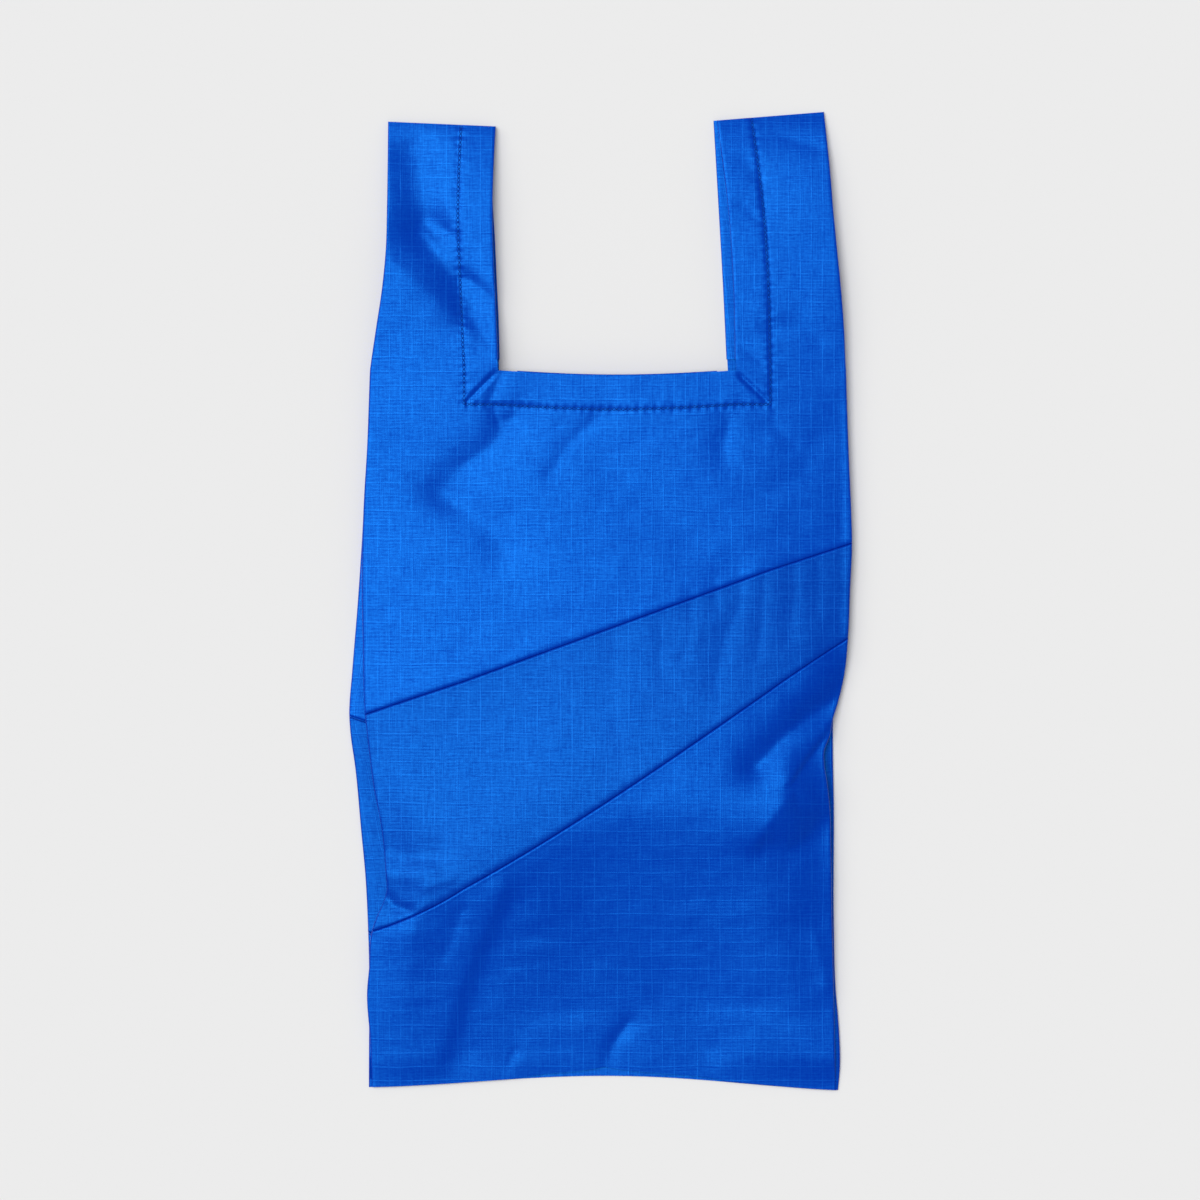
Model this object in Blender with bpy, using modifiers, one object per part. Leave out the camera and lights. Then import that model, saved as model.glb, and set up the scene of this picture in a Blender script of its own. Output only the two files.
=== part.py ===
"""Sewn carrier bag of thin ripstop nylon, lying flat with its side gussets folded in.

Six pieces of cloth make the bag: an upper, a band and a lower panel in front, and the same
three behind. Each piece runs round both side folds to the middle of the gussets. The upper
panels carry the straps, whose tops are sewn together, front to back, into two handles.
Metres, +Z up, +Y towards the handles, +X to the right for someone who looks down on the bag.
"""
import math

import bmesh
import bpy
import numpy as np
from mathutils import Vector

# Driving sizes, in metres
WIDTH = 0.270             # side fold to side fold, laid flat
HANDLE_LENGTH = 0.1455    # mouth edge to the sewn top of a handle
HANDLE_WIDTH = 0.061      # one strap, from its fold to its hemmed edge
SIDE_SEAM_STRIP = 0.004   # how much deeper the folded gusset is than a handle is wide
HEM = 0.019               # mouth edge to its line of stitching
LOWER_PANEL_LEFT = 0.090  # depth of the lower panel at the left and right folds
LOWER_PANEL_RIGHT = 0.255
BAND_LEFT = 0.121         # depth of the band panel at the left and right folds
BAND_RIGHT = 0.053
UPPER_PANEL_LEFT = 0.1935  # depth of the upper panel at the left fold, up to the mouth
LOWER_SEAM_SAG = 0.010    # the lower seam curves down from a straight line by this
CLOTH = 0.0005            # cloth with its seams and coating, thicker than the bare nylon
THREAD = 0.0005           # sewing thread
CLEARANCE = 0.0003        # air between pieces that touch
FOLD_RADIUS = 0.0008      # roundness of a side fold away from the sewn ends
SEAM_GROOVE = 0.0008      # how far the cloth turns down at a panel seam
SEAM_ROLL = 0.004         # width of cloth that turns down there
SEWN_END = 0.025          # length over which the layers part from a sewn end
COLUMN_SPACING = 0.0145   # spacing of the cloth's grid, finer on top than on the floor
ROW_SPACING = 0.0150
FLOOR_SPACING = 0.028

# Worked out from the driving sizes
BODY_HEIGHT = LOWER_PANEL_LEFT + BAND_LEFT + UPPER_PANEL_LEFT
LENGTH = BODY_HEIGHT + HANDLE_LENGTH
GUSSET_HALF = HANDLE_WIDTH + SIDE_SEAM_STRIP
HALF_WIDTH = WIDTH / 2
LAYER_PITCH = CLOTH + CLEARANCE
FLOOR_LAYER = CLOTH / 2   # middle of the layer that lies on the floor
SEWN_STACK = FLOOR_LAYER + 3 * LAYER_PITCH   # middle of the top one of four sewn layers

# Places round the bag: the side folds, the straps' hemmed edges, and the gusset middles
LEFT_FOLD, LEFT_EDGE, RIGHT_EDGE, RIGHT_FOLD = 0.0, 1.0, 2.0, 3.0
FOLD_TURN = 0.03          # half of a fold's arc, on the same scale
SEAM_PLACE = GUSSET_HALF / HANDLE_WIDTH
STITCH_PLACE = 1 - HEM / HANDLE_WIDTH

# Drift of each edge from its nominal line, towards the bag's middle, as pairs of the place
# up the bag (0 bottom, 1 mouth, 2 handle tops) and metres
FRONT_FOLD_DRIFT = {
    "left": ((0, 0.0070), (0.14, 0.0045), (0.22, 0.0069), (0.283, 0.0150), (0.37, 0.0119),
             (0.52, 0.0030), (0.72, 0.0013), (1, 0.0058), (1.31, 0.0125), (1.55, 0.0152),
             (2, 0.0159)),
    "right": ((0, 0.0030), (0.24, 0.0052), (0.39, 0.0063), (0.471, 0.0097), (0.54, 0.0018),
              (0.63, -0.0038), (0.76, -0.0058), (1, -0.0026), (1.31, 0.0004), (1.62, 0.0046),
              (2, 0.0097)),
}
BACK_FOLD_DRIFT = {
    "left": ((0, 0.0050), (0.22, 0.0046), (0.36, 0.0007), (0.52, -0.0058), (0.67, -0.0015),
             (0.85, 0.0030), (1, 0.0065), (1.31, 0.0130), (1.55, 0.0156), (2, 0.0163)),
    "right": ((0, 0.0018), (0.09, 0.0013), (0.24, 0.0041), (0.40, 0.0043), (0.55, 0.0042),
              (0.76, -0.0040), (1, -0.0018), (1.31, 0.0010), (1.62, 0.0050), (2, 0.0100)),
}
FRONT_STRAP_DRIFT = {
    "left": ((1, 0.0165), (1.33, 0.0143), (1.6, 0.0132), (2, 0.0152)),
    "right": ((1, -0.0020), (1.33, -0.0009), (1.55, 0.0010), (1.76, 0.0042), (2, 0.0090)),
}
BACK_STRAP_DRIFT = {
    "left": ((1, 0.0180), (1.33, 0.0150), (1.6, 0.0137), (2, 0.0152)),
    "right": ((1, 0.0025), (1.33, 0.0050), (1.6, 0.0070), (2, 0.0104)),
}

# Height of the front cloth over the floor, up the bag: at the side folds and at the middle
FOLD_HEIGHT = ((0, SEWN_STACK), (0.06, 0.0042), (0.3, 0.0062), (0.6, 0.0070), (1, 0.0080),
               (1.25, 0.0106), (1.7, 0.0108), (1.88, 0.0074), (2, SEWN_STACK))
CROWN_HEIGHT = ((0, SEWN_STACK), (0.06, 0.0046), (0.3, 0.0105), (0.6, 0.0135), (0.85, 0.0128),
                (1, 0.0118), (1.2, 0.0112), (1.7, 0.0109), (1.88, 0.0074), (2, SEWN_STACK))
CROWN_FLATNESS = 2.5      # power of the crown's fall towards the folds
RIDGE_HEIGHT = 0.0022     # the cloth stands along the lower seam
RIDGE_WIDTH = 0.045
BOTTOM_LIFT = 0.0085      # the bottom edge bows up between its corners
BOTTOM_CORNERS = (0.0022, 0.0005)
MOUTH_SAG = 0.0028
HANDLE_TOP_DROPS = ((LEFT_FOLD, 0.0056), (LEFT_EDGE, 0.0084), (RIGHT_EDGE, 0.0050),
                    (RIGHT_FOLD, 0.0))

# Wrinkles of the front: points (across the bag -1 to 1, up it 0 to 2), half width and height
WRINKLES = (
    (((-0.83, 1.85), (-0.78, 1.68), (-0.73, 1.50), (-0.62, 1.31), (-0.58, 1.23)), 0.012, -0.0008),
    (((-0.43, 0.92), (-0.53, 0.90), (-0.64, 0.88)), 0.012, -0.0012),
    (((-0.82, 0.87), (-0.71, 0.83), (-0.60, 0.80), (-0.50, 0.76)), 0.014, -0.0010),
    (((-0.10, 0.91), (-0.19, 0.86)), 0.016, -0.0008),
    (((0.95, 0.55), (0.86, 0.53), (0.75, 0.50), (0.67, 0.46)), 0.012, -0.0018),
    (((0.95, 0.52), (0.86, 0.48), (0.70, 0.43)), 0.012, 0.0016),
    (((0.71, 0.36), (0.80, 0.39), (0.93, 0.39)), 0.018, -0.0022),
    (((-0.44, 0.27), (-0.55, 0.17), (-0.66, 0.05)), 0.016, -0.0012),
    (((-0.57, 0.25), (-0.64, 0.19)), 0.012, -0.0008),
    (((0.82, 0.18), (0.89, 0.11), (0.99, 0.04)), 0.012, -0.0014),
    (((-0.97, 0.34), (-0.84, 0.29), (-0.75, 0.33)), 0.010, 0.0014),
    (((0.02, 0.03), (0.06, 0.07), (0.10, 0.10)), 0.010, -0.0012),
)
WRINKLE_FADE = 0.020      # wrinkles die out this close to a side fold

UPPER_BLUE = (0.008, 0.130, 0.680, 1)
BAND_BLUE = (0.009, 0.122, 0.640, 1)
LOWER_BLUE = (0.003, 0.072, 0.500, 1)
THREAD_BLUE = (0.003, 0.045, 0.300, 1)


def smoothstep(value):
    value = min(max(value, 0.0), 1.0)
    return value * value * (3 - 2 * value)


def curve_through(knots, place):
    """Value at place of the smooth curve through (place, value) knots."""
    places = np.array([knot[0] for knot in knots], dtype=float)
    values = np.array([knot[1] for knot in knots], dtype=float)
    slopes = np.gradient(values, places)
    index = int(np.clip(np.searchsorted(places, place) - 1, 0, len(places) - 2))
    span = places[index + 1] - places[index]
    s = min(max((place - places[index]) / span, 0.0), 1.0)
    return float(
        (2 * s**3 - 3 * s**2 + 1) * values[index]
        + (s**3 - 2 * s**2 + s) * span * slopes[index]
        + (3 * s**2 - 2 * s**3) * values[index + 1]
        + (s**3 - s**2) * span * slopes[index + 1]
    )


def climb(height):
    """Place up the bag of a height above the bottom corners: 1 is the mouth, 2 the top."""
    if height <= BODY_HEIGHT:
        return height / BODY_HEIGHT
    return 1 + (height - BODY_HEIGHT) / HANDLE_LENGTH


def height_at(place):
    """Height above the bottom corners of a place up the bag, the reverse of climb."""
    return place * BODY_HEIGHT if place <= 1 else BODY_HEIGHT + (place - 1) * HANDLE_LENGTH


def fold_x(drifts, hand, place):
    """X of a side fold."""
    sign = -1 if hand == "left" else 1
    return sign * (HALF_WIDTH - curve_through(drifts[hand], place))


def strap_x(drifts, hand, place):
    """X of a strap's hemmed edge, and below the mouth of the line that carries it on."""
    sign = -1 if hand == "left" else 1
    return sign * (HALF_WIDTH - HANDLE_WIDTH - curve_through(drifts[hand], max(place, 1)))


def lower_seam(across):
    """Height of the lower diagonal seam, which sags most in its lower half."""
    share = share_across(across)
    sag = LOWER_SEAM_SAG * math.sin(math.pi * min(max(share, 0), 1) ** 0.7)
    return LOWER_PANEL_LEFT + (LOWER_PANEL_RIGHT - LOWER_PANEL_LEFT) * share - sag


def upper_seam(across):
    """Height of the upper diagonal seam."""
    left = LOWER_PANEL_LEFT + BAND_LEFT
    right = LOWER_PANEL_RIGHT + BAND_RIGHT
    return left + (right - left) * share_across(across)


def bottom(across):
    """Height of the bottom edge, which all four layers share."""
    share = min(max(share_across(folded_over(across)), 0), 1)
    corners = BOTTOM_CORNERS[0] + (BOTTOM_CORNERS[1] - BOTTOM_CORNERS[0]) * share
    return corners + (BOTTOM_LIFT - corners) * math.sin(math.pi * share) ** 1.5


def mouth(across):
    """Height of the mouth's edge."""
    share = min(max(across - LEFT_EDGE, 0), 1)
    return BODY_HEIGHT - MOUTH_SAG * math.sin(math.pi * share)


def handle_top(across):
    """Height of the sewn handle tops."""
    places, drops = zip(*HANDLE_TOP_DROPS)
    return LENGTH - float(np.interp(folded_over(across), places, drops))


def folded_over(across):
    """The place on the face that a place on a gusset lies under."""
    return min(max(across, 2 * LEFT_FOLD - across), 2 * RIGHT_FOLD - across)


def share_across(across):
    """Distance across the opened-out cloth, 0 at the left fold and 1 at the right one."""
    if across < LEFT_FOLD:
        return across * HANDLE_WIDTH / WIDTH
    if across > RIGHT_FOLD:
        return 1 + (across - RIGHT_FOLD) * HANDLE_WIDTH / WIDTH
    folds = (fold_x(FRONT_FOLD_DRIFT, "left", 1), fold_x(FRONT_FOLD_DRIFT, "right", 1))
    edges = (strap_x(FRONT_STRAP_DRIFT, "left", 1), strap_x(FRONT_STRAP_DRIFT, "right", 1))
    xs = (folds[0], edges[0] - HEM, *edges, edges[1] + HEM, folds[1])
    places = (LEFT_FOLD, STITCH_PLACE, LEFT_EDGE, RIGHT_EDGE, RIGHT_FOLD - STITCH_PLACE,
              RIGHT_FOLD)
    return (float(np.interp(across, places, xs)) - folds[0]) / (folds[1] - folds[0])


def face_x(side, across, place):
    """X of a point of the face, between the two side folds."""
    folds, straps = (
        (FRONT_FOLD_DRIFT, FRONT_STRAP_DRIFT) if side == "front"
        else (BACK_FOLD_DRIFT, BACK_STRAP_DRIFT)
    )
    radius = fold_radius(place)
    left_edge = strap_x(straps, "left", place)
    right_edge = strap_x(straps, "right", place)
    places = (FOLD_TURN, STITCH_PLACE, LEFT_EDGE, RIGHT_EDGE, RIGHT_FOLD - STITCH_PLACE,
              RIGHT_FOLD - FOLD_TURN)
    xs = (fold_x(folds, "left", place) + radius, left_edge - HEM, left_edge, right_edge,
          right_edge + HEM, fold_x(folds, "right", place) - radius)
    return float(np.interp(across, places, xs))


def fold_radius(place):
    """Half the distance between the two layers that meet at a side fold."""
    height = height_at(place)
    opened = smoothstep(min(height, LENGTH - height) / SEWN_END)
    return LAYER_PITCH / 2 + (FOLD_RADIUS - LAYER_PITCH / 2) * opened


def wrinkle_height(x, y):
    """Height that the wrinkles and the lower seam's ridge add to the front."""
    total = 0.0
    for points, half_width, height in WRINKLES:
        path = [Vector((s * HALF_WIDTH, height_at(t) - LENGTH / 2)) for s, t in points]
        total += height * math.exp(-((distance_to(path, x, y) / half_width) ** 2))
    ridge_y = lower_seam(RIGHT_FOLD * (x + HALF_WIDTH) / WIDTH) - LENGTH / 2
    total += RIDGE_HEIGHT * math.exp(-(((y - ridge_y) / RIDGE_WIDTH) ** 2))
    return total * smoothstep((HALF_WIDTH - abs(x)) / WRINKLE_FADE)


def distance_to(path, x, y):
    """Distance from a point to a path of straight runs."""
    point = Vector((x, y))
    nearest = math.inf
    for start, end in zip(path, path[1:]):
        run = end - start
        share = min(max((point - start).dot(run) / run.length_squared, 0), 1)
        nearest = min(nearest, (point - start - run * share).length)
    return nearest


def front_z(x, y, place):
    """Height over the floor of the front face."""
    at_fold = curve_through(FOLD_HEIGHT, place)
    at_crown = curve_through(CROWN_HEIGHT, place)
    crown = 1 - min(abs(x) / HALF_WIDTH, 1) ** CROWN_FLATNESS
    z = at_fold + (at_crown - at_fold) * crown
    opened = smoothstep(min(height_at(place), LENGTH - height_at(place)) / SEWN_END)
    clear_of_gussets = smoothstep((HALF_WIDTH - GUSSET_HALF - abs(x)) / SEWN_END)
    return z + wrinkle_height(x, y) * opened - 2 * LAYER_PITCH * clear_of_gussets * (1 - opened)


def lay(side, across, height, groove=0.0):
    """Where a point of the cloth comes to lie, given its place round the bag, its height up
    the cloth, and how far a seam's groove draws it down."""
    left = across < (LEFT_EDGE + RIGHT_EDGE) / 2
    inward = across if left else RIGHT_FOLD - across
    hand, sign = ("left", -1) if left else ("right", 1)
    place = climb(height)
    y = height - LENGTH / 2
    radius = fold_radius(place)
    folds = FRONT_FOLD_DRIFT if side == "front" else BACK_FOLD_DRIFT
    fold = fold_x(folds, hand, place)
    if side == "front":
        fold_level, up = curve_through(FOLD_HEIGHT, place), 1
    else:
        fold_level, up = FLOOR_LAYER, -1
    if inward >= FOLD_TURN:
        x = face_x(side, across, place)
        z = front_z(x, y, place) - groove if side == "front" else FLOOR_LAYER
        return Vector((x, y, z))
    if inward > -FOLD_TURN:
        angle = math.pi / 2 * inward / FOLD_TURN
        x = fold - sign * radius * (1 - math.cos(angle))
        return Vector((x, y, fold_level + up * radius * (math.sin(angle) - 1)))
    nominal = fold_x(FRONT_FOLD_DRIFT, hand, place) + fold_x(BACK_FOLD_DRIFT, hand, place)
    seam_x = nominal / 2 - sign * GUSSET_HALF
    share = (-inward - FOLD_TURN) / (SEAM_PLACE - FOLD_TURN)
    x = fold - sign * radius + (seam_x - fold + sign * radius) * share
    beside_fold = fold_level - up * 2 * radius
    middle = (curve_through(FOLD_HEIGHT, place) + FLOOR_LAYER) / 2
    beside_seam = middle + up * LAYER_PITCH / 2
    beside_seam += (beside_fold - beside_seam) * smoothstep((place - 1) * 4)
    return Vector((x, y, beside_fold + (beside_seam - beside_fold) * share))


def stations(breaks, spacing):
    """Breaks with evenly spaced stations added between them, where spacing gives the most
    that two may lie apart on the breaks' own scale."""
    result = [breaks[0]]
    for start, end in zip(breaks, breaks[1:]):
        count = max(1, math.ceil(round((end - start) / spacing, 6)))
        result += [start + (end - start) * i / count for i in range(1, count + 1)]
    return result


def columns_across(spacing):
    """Places round the bag of a piece's columns, from side seam to side seam."""
    step = spacing / HANDLE_WIDTH
    strap = [-SEAM_PLACE, -1, *stations([-STITCH_PLACE, -FOLD_TURN], step),
             -FOLD_TURN / 2, LEFT_FOLD, FOLD_TURN / 2,
             *stations([FOLD_TURN, STITCH_PLACE, LEFT_EDGE], step)]
    middle = stations([LEFT_EDGE, RIGHT_EDGE], spacing / (WIDTH - 2 * HANDLE_WIDTH))[1:-1]
    return strap + middle + [RIGHT_FOLD - place for place in reversed(strap)]


def rows_between(low, high, spacing, grooves=(True, True)):
    """Rows from one edge of a piece to another: functions that give a column's height, with
    the depth of the seam's groove there. A seam's roll is a row of its own."""
    middle = (LEFT_EDGE + RIGHT_EDGE) / 2
    length = max(high(place) - low(place) for place in (LEFT_FOLD, middle, RIGHT_FOLD))
    shares = stations([0, 1], spacing / length)
    gap = CLEARANCE / 2

    def row(share):
        def height(across):
            start = low(across) + (gap if grooves[0] else 0)
            end = high(across) - (gap if grooves[1] else 0)
            if share == "low roll":
                return start + min(SEAM_ROLL, (end - start) / 4)
            if share == "high roll":
                return end - min(SEAM_ROLL, (end - start) / 4)
            return start + (end - start) * share
        return height

    inner = [share for share in shares[1:-1] if not 0 < share * length < 2 * SEAM_ROLL
             and not 0 < (1 - share) * length < 2 * SEAM_ROLL]
    rows = [(row(0), SEAM_GROOVE if grooves[0] else 0.0)]
    rows += [(row("low roll"), 0.0)] if grooves[0] else []
    rows += [(row(share), 0.0) for share in inner]
    rows += [(row("high roll"), 0.0)] if grooves[1] else []
    return rows + [(row(1), SEAM_GROOVE if grooves[1] else 0.0)]


def make_material(name, colour, roughness):
    material = bpy.data.materials.new(name)
    material.use_nodes = True
    shader = material.node_tree.nodes["Principled BSDF"]
    shader.inputs["Base Color"].default_value = colour
    shader.inputs["Roughness"].default_value = roughness
    shader.inputs["Metallic"].default_value = 0.0
    return material


def cloth_piece(name, side, columns, rows, colour, cut_from=None):
    """A piece of cloth: a flat grid, its cut-outs deleted, laid into place and thickened.
    From the row cut_from upwards only the straps are kept."""
    mesh = bpy.data.meshes.new(name)
    bm = bmesh.new()
    across_cells, up_cells = len(columns) - 1, len(rows) - 1
    bmesh.ops.create_grid(bm, x_segments=across_cells, y_segments=up_cells, size=0.5)
    cut = []
    if cut_from is not None:
        for face in bm.faces:
            centre = face.calc_center_median()
            column = (centre.x + 0.5) * across_cells
            place = (columns[math.floor(column)] + columns[math.ceil(column)]) / 2
            outside = not -1 < place < RIGHT_FOLD + 1
            if (centre.y + 0.5) * up_cells > cut_from:
                if outside or LEFT_EDGE < place < RIGHT_EDGE:
                    cut.append(face)
    bmesh.ops.delete(bm, geom=cut, context="FACES")
    for vertex in bm.verts:
        column = round((vertex.co.x + 0.5) * across_cells)
        row = round((vertex.co.y + 0.5) * up_cells)
        height, groove = rows[row]
        vertex.co = lay(side, columns[column], height(columns[column]), groove)
    bm.to_mesh(mesh)
    bm.free()
    mesh.shade_smooth()
    mesh.materials.append(make_material(f"{name}_nylon", colour, 0.45))
    piece = bpy.data.objects.new(name, mesh)
    thickness = piece.modifiers.new("Cloth", "SOLIDIFY")
    thickness.thickness = CLOTH
    thickness.offset = 0
    return piece


def side_pieces(side, column_spacing, row_spacing):
    """The three pieces of the front or the back."""
    columns = columns_across(column_spacing)
    lower = rows_between(bottom, lower_seam, row_spacing, grooves=(False, True))
    band = rows_between(lower_seam, upper_seam, row_spacing)
    body = rows_between(upper_seam, hem_line, row_spacing, grooves=(True, False))
    hem = rows_between(hem_line, mouth, HEM, grooves=(False, False))[1:]
    strap = rows_between(mouth, handle_top, row_spacing, grooves=(False, False))[1:]
    upper = body + hem + strap
    return [
        cloth_piece(f"{side}_lower_panel", side, columns, lower, LOWER_BLUE),
        cloth_piece(f"{side}_band_panel", side, columns, band, BAND_BLUE),
        cloth_piece(f"{side}_upper_panel", side, columns, upper, UPPER_BLUE,
                    cut_from=len(body) + len(hem) - 1),
    ]


def hem_line(across):
    """Height of the stitching along the mouth."""
    return mouth(across) - HEM


def mouth_stitching():
    """The thread that holds the front hem: down one strap, along the mouth, up the other."""
    columns = [place for place in columns_across(COLUMN_SPACING)
               if STITCH_PLACE <= place <= RIGHT_FOLD - STITCH_PLACE]
    strap = rows_between(mouth, handle_top, ROW_SPACING, grooves=(False, False))
    left, right = columns[0], columns[-1]
    route = [(left, height(left)) for height, _ in reversed(strap)]
    route += [(place, hem_line(place)) for place in columns]
    route += [(right, height(right)) for height, _ in strap]
    lift = Vector((0, 0, CLOTH / 2 + CLEARANCE + THREAD / 2))
    curve = bpy.data.curves.new("mouth_stitching", "CURVE")
    curve.dimensions = "3D"
    curve.bevel_depth = THREAD / 2
    curve.bevel_resolution = 1
    curve.use_fill_caps = True
    spline = curve.splines.new("POLY")
    spline.points.add(len(route) - 1)
    for point, (across, height) in zip(spline.points, route):
        point.co = (*(lay("front", across, height) + lift), 1)
    curve.materials.append(make_material("mouth_stitching_thread", THREAD_BLUE, 0.6))
    return bpy.data.objects.new("mouth_stitching", curve)


def main():
    for old in list(bpy.data.objects):
        bpy.data.objects.remove(old, do_unlink=True)
    bag = bpy.data.collections.new("carrier_bag")
    bpy.context.scene.collection.children.link(bag)
    pieces = side_pieces("front", COLUMN_SPACING, ROW_SPACING)
    pieces += side_pieces("back", FLOOR_SPACING, FLOOR_SPACING)
    pieces.append(mouth_stitching())
    for piece in pieces:
        bag.objects.link(piece)


main()
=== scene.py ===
import math

import bmesh
import bpy
import numpy as np
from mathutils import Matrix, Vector


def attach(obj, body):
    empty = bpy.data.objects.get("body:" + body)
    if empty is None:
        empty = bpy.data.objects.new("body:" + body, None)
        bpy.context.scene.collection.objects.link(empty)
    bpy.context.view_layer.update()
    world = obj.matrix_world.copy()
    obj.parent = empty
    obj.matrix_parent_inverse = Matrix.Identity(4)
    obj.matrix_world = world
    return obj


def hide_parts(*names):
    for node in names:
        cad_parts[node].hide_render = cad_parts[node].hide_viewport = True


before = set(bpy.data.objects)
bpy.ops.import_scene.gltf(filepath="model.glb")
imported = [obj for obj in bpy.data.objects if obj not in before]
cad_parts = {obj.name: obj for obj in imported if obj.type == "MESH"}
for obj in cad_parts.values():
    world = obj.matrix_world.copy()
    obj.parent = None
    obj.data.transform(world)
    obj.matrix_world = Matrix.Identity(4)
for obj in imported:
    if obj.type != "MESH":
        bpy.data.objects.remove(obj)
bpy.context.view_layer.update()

# Sizes of the bag in metres, the same as in its CAD model
WIDTH = 0.270             # side fold to side fold
LOWER_PANEL_LEFT = 0.090  # depth of the lower panel at the left and right folds
LOWER_PANEL_RIGHT = 0.255
BAND_LEFT = 0.121         # depth of the band panel
BAND_RIGHT = 0.053
UPPER_PANEL_LEFT = 0.1935
HANDLE_LENGTH = 0.1455
HANDLE_WIDTH = 0.061
SIDE_SEAM_STRIP = 0.004
LOWER_SEAM_SAG = 0.010
STITCH_INSET = 0.019      # edge of the cloth to the hem's stitching
BODY_HEIGHT = LOWER_PANEL_LEFT + BAND_LEFT + UPPER_PANEL_LEFT
LENGTH = BODY_HEIGHT + HANDLE_LENGTH
HALF_WIDTH = WIDTH / 2
GUSSET_HALF = HANDLE_WIDTH + SIDE_SEAM_STRIP

# The cloth and thread as they look, thinner than the CAD model's
CLOTH = 0.00022
THREAD = 0.00044
STITCH_PITCH = 0.0050     # one zigzag of the stitching round the mouth
STITCH_SWING = 0.00070    # how far it swings to each side
HEM = 0.0205              # edge of the cloth to the hem's raw edge, folded under
LAYER_PITCH = 0.00034     # distance between sewn layers
FLOOR_LAYER = 0.00030
SEWN_STACK = FLOOR_LAYER + 3 * LAYER_PITCH
FOLD_RADIUS = 0.0008
HEM_RADIUS = 0.00035      # roundness of a hemmed edge
SEWN_END = 0.020          # length over which the layers part from a sewn end
SEAM_LIP = 0.0012         # depth of the groove along a panel seam
GRID = 0.0015             # spacing of the cloth's grid on the front
FLOOR_GRID = 0.006        # on the back
GUSSET_GRID = 0.005       # on the gussets
HEM_GRID = 0.001          # across the mouth's hem
STITCH_BAND = 0.002       # beside the stitching the columns are closer, over this width
CUT_EDGE = math.radians(50)   # sharper turns of the surface than this are the cloth's edges

# Places round the bag: the side folds, the straps' hemmed edges and the gusset middles
LEFT_FOLD, LEFT_EDGE, RIGHT_EDGE, RIGHT_FOLD = 0.0, 1.0, 2.0, 3.0
FOLD_TURN = 0.03          # half of a fold's arc, on the same scale
SEAM_PLACE = GUSSET_HALF / HANDLE_WIDTH
STITCH_PLACE = 1 - STITCH_INSET / HANDLE_WIDTH

# Drift of each edge towards the bag's middle: place up the bag (1 mouth, 2 top), metres
FRONT_FOLD_DRIFT = {
    "left": ((0, 0.0070), (0.07, 0.0058), (0.14, 0.0041), (0.17, 0.0052), (0.223, 0.0069),
             (0.245, 0.0100), (0.262, 0.0132), (0.283, 0.0152), (0.30, 0.0147),
             (0.33, 0.0138), (0.37, 0.0119), (0.42, 0.0080), (0.473, 0.0052), (0.527, 0.0028),
             (0.62, 0.0018), (0.74, 0.0013), (0.82, 0.0024), (0.89, 0.0041), (1, 0.0058),
             (1.156, 0.0091), (1.31, 0.0125), (1.464, 0.0147), (1.62, 0.0153), (2, 0.0159)),
    "right": ((0, 0.0030), (0.14, 0.0042), (0.24, 0.0052), (0.335, 0.0058), (0.389, 0.0063),
              (0.428, 0.0080), (0.455, 0.0096), (0.471, 0.0097), (0.495, 0.0063),
              (0.514, 0.0050), (0.54, 0.0018), (0.575, -0.0015), (0.63, -0.0038),
              (0.696, -0.0049), (0.758, -0.0060), (0.807, -0.0055), (0.876, -0.0043),
              (1, -0.0026), (1.156, -0.0015), (1.31, 0.0002), (1.464, 0.0024),
              (1.62, 0.0046), (1.77, 0.0063), (2, 0.0097)),
}
BACK_FOLD_DRIFT = {
    "left": ((0, 0.0050), (0.22, 0.0046), (0.30, 0.0030), (0.36, 0.0007), (0.45, -0.0027),
             (0.50, -0.0055), (0.52, -0.0060), (0.585, -0.0043), (0.67, -0.0015),
             (0.75, 0.0007), (0.85, 0.0030), (1, 0.0065), (1.31, 0.0130), (1.55, 0.0156),
             (2, 0.0163)),
    "right": ((0, 0.0018), (0.03, 0.0007), (0.09, 0.0013), (0.14, 0.0030), (0.24, 0.0041),
              (0.40, 0.0041), (0.468, 0.0046), (0.55, 0.0042), (0.76, -0.0040), (1, -0.0018),
              (1.31, 0.0010), (1.62, 0.0050), (2, 0.0100)),
}
FRONT_STRAP_DRIFT = {
    "left": ((1, 0.0165), (1.16, 0.0154), (1.33, 0.0143), (1.6, 0.0130), (1.85, 0.0140),
             (2, 0.0152)),
    "right": ((1, -0.0020), (1.33, -0.0009), (1.55, 0.0010), (1.76, 0.0042), (2, 0.0090)),
}
BACK_STRAP_DRIFT = {
    "left": ((1, 0.0170), (1.2, 0.0163), (1.33, 0.0154), (1.5, 0.0143), (1.7, 0.0128),
             (2, 0.0150)),
    "right": ((1, 0.0025), (1.33, 0.0048), (1.6, 0.0070), (2, 0.0104)),
}

# Height of the front cloth over the floor: at the side folds and at the middle
FOLD_HEIGHT = ((0, SEWN_STACK), (0.06, 0.0026), (0.15, 0.0042), (0.3, 0.0060),
               (0.6, 0.0070), (1, 0.0080), (1.25, 0.0096), (1.5, 0.0094), (1.7, 0.0082),
               (1.85, 0.0058), (1.95, 0.0032), (2, SEWN_STACK))
CROWN_HEIGHT = ((0, SEWN_STACK), (0.06, 0.0026), (0.15, 0.0046), (0.3, 0.0084),
                (0.6, 0.0118), (0.85, 0.0122), (1, 0.0116), (1.2, 0.0108), (1.5, 0.0098),
                (1.7, 0.0084), (1.85, 0.0059), (1.95, 0.0032), (2, SEWN_STACK))
CROWN_FLATNESS = 2.5      # how square the swell is from side to side

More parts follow.
